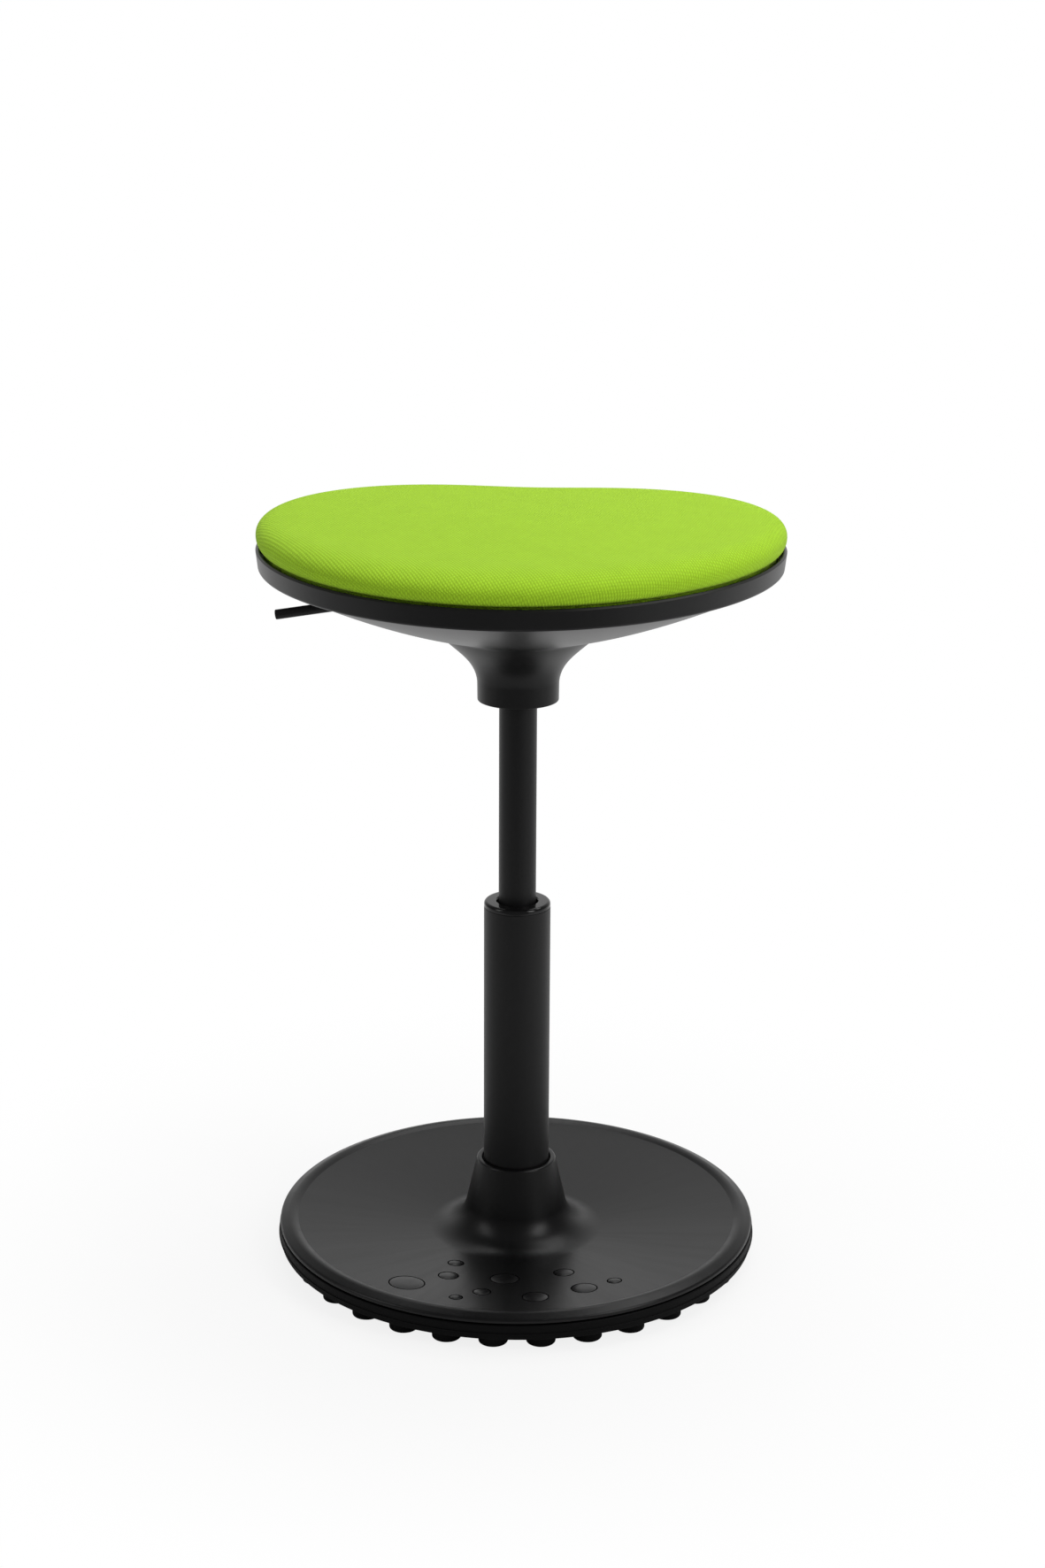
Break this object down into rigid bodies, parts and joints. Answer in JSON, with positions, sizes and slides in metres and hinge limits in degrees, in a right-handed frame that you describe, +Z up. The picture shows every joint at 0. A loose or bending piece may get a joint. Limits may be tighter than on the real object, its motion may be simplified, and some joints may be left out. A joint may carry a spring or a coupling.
{
  "type": "office stool",
  "caption": "Height-adjustable swivel stool with a padded fabric seat in a black pan, a gas-lift column with release lever and a dished foot on rubber studs.",
  "frame": {"origin": "on the floor under the column's axis, at the foot's centre", "axes": "+Z up along the column, -Y to the seat's nose, the release lever points to -X"},
  "size_m": [0.3878, 0.3742, 0.5728],
  "materials": {
    "foot_plastic": "matte charcoal moulding",
    "sole_rubber": "matte black rubber",
    "zinc_steel": "zinc plated",
    "cast_iron": "raw casting",
    "black_steel": "black powder coat",
    "bush_plastic": "glossy black",
    "brass": "plain",
    "polished_steel": "ground and polished",
    "aluminium": "turned",
    "pan_plastic": "satin black moulding",
    "plywood": "raw plywood",
    "foam": "open foam",
    "green_fabric": "lime green basket weave"
  },
  "bodies": {
    "base": {"foot_dish": "foot_plastic", "sole": "sole_rubber", "base_plate": "zinc_steel", "ballast_ring": "cast_iron", "foot_socket": "zinc_steel", "base_screws": "zinc_steel", "outer_tube": "black_steel", "tube_end_plate": "zinc_steel", "guide_bush": "bush_plastic", "bearing_lower_washer": "zinc_steel"},
    "bearing": {"bearing_cage": "brass", "bearing_balls": "polished_steel"},
    "rod": {"bearing_upper_washer": "zinc_steel", "bumper": "sole_rubber", "piston_rod": "polished_steel", "piston": "aluminium", "piston_seal": "sole_rubber", "piston_nut": "zinc_steel", "retaining_clip": "zinc_steel"},
    "seat": {"pressure_tube": "black_steel", "rod_gland": "aluminium", "inner_cylinder": "zinc_steel", "valve_body": "aluminium", "seat_socket": "zinc_steel", "seat_plate": "black_steel", "plate_screws": "zinc_steel", "tee_nuts": "zinc_steel", "seat_pan": "pan_plastic", "pan_screws": "zinc_steel", "seat_board": "plywood", "seat_foam": "foam", "seat_cover": "green_fabric"},
    "lever": {"lever_rod": "black_steel", "lever_pivot": "zinc_steel"},
    "pin": {"release_pin": "polished_steel"}
  },
  "joints": [
    {"name": "seat_swivel", "type": "hinge", "parent": "base", "child": "rod", "pos_m": [0, 0, 0.02], "axis": [0, 0, 1], "continuous": true},
    {"name": "bearing_roll", "type": "hinge", "parent": "base", "child": "bearing", "pos_m": [0, 0, 0.02], "axis": [0, 0, 1], "continuous": true},
    {"name": "height_adjust", "type": "slide", "parent": "rod", "child": "seat", "axis": [0, 0, 1], "range_m": [-0.15, 0]},
    {"name": "lever_lift", "type": "hinge", "parent": "seat", "child": "lever", "pos_m": [-0.03, 0, 0.52102], "axis": [0, 1, 0], "range_deg": [0, 6], "stiffness_Nm_per_rad": 2, "springref_deg": -2.86},
    {"name": "pin_press", "type": "slide", "parent": "seat", "child": "pin", "axis": [0, 0, -1], "range_m": [0, 0.0033]}
  ],
  "couplings": [
    {"joint": "bearing_roll", "follows": "seat_swivel", "ratio": 0.5},
    {"joint": "pin_press", "follows": "lever_lift", "m_per_rad": 0.03}
  ]
}
